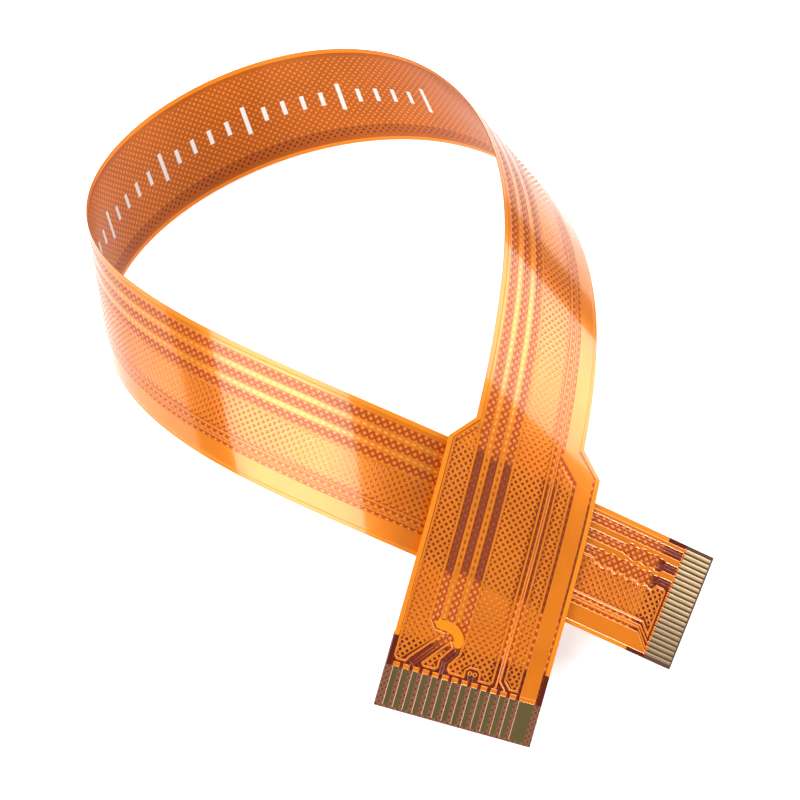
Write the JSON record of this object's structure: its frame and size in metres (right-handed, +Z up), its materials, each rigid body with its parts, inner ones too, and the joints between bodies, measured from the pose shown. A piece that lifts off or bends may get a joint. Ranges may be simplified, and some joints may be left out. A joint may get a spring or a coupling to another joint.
{
  "type": "flat flex cable",
  "caption": "Flexible printed flat cable lying in one open loop, with a wide and a narrow contact end backed by stiffeners.",
  "frame": {"origin": "centre of the bounding box in plan, on the surface that the cable lies on", "axes": "+Z up from that surface, -Y towards the wide contact end, +X towards the narrow contact end"},
  "size_m": [0.0606, 0.072, 0.0246],
  "materials": {
    "amber_film": "glossy",
    "stiffener_film": "glossy",
    "copper_foil": "satin",
    "gold_plating": "satin"
  },
  "bodies": {
    "root": {"back_cover_film": "amber_film", "back_ground": "copper_foil", "base_film": "amber_film", "bridge_patch": "copper_foil", "edge_ground": "copper_foil", "fan_ground": "copper_foil", "front_cover_film": "amber_film", "ground_strip_1": "copper_foil", "ground_strip_2": "copper_foil", "middle_ground": "copper_foil", "narrow_contact_01": "gold_plating", "narrow_contact_02": "gold_plating", "narrow_contact_03": "gold_plating", "narrow_contact_04": "gold_plating", "narrow_contact_05": "gold_plating", "narrow_contact_06": "gold_plating", "narrow_contact_07": "gold_plating", "narrow_contact_08": "gold_plating", "narrow_contact_09": "gold_plating", "narrow_contact_10": "gold_plating", "narrow_contact_11": "gold_plating", "narrow_contact_12": "gold_plating", "narrow_contact_13": "gold_plating", "narrow_contact_14": "gold_plating", "narrow_contact_15": "gold_plating", "narrow_contact_16": "gold_plating", "narrow_contact_17": "gold_plating", "narrow_contact_18": "gold_plating", "narrow_contact_19": "gold_plating", "narrow_contact_20": "gold_plating", "narrow_contact_21": "gold_plating", "narrow_contact_22": "gold_plating", "narrow_stiffener": "stiffener_film", "pair_1a_track": "copper_foil", "pair_1b_track": "copper_foil", "pair_2a_track": "copper_foil", "pair_2b_track": "copper_foil", "pair_3a_track": "copper_foil", "pair_3b_track": "copper_foil", "power_strip": "copper_foil", "side_ground": "copper_foil", "signal_track_1": "copper_foil", "signal_track_2": "copper_foil", "wide_contact_01": "gold_plating", "wide_contact_02": "gold_plating", "wide_contact_03": "gold_plating", "wide_contact_04": "gold_plating", "wide_contact_05": "gold_plating", "wide_contact_06": "gold_plating", "wide_contact_07": "gold_plating", "wide_contact_08": "gold_plating", "wide_contact_09": "gold_plating", "wide_contact_10": "gold_plating", "wide_contact_11": "gold_plating", "wide_contact_12": "gold_plating", "wide_contact_13": "gold_plating", "wide_power_contact": "gold_plating", "wide_stiffener": "stiffener_film"}
  },
  "joints": []
}
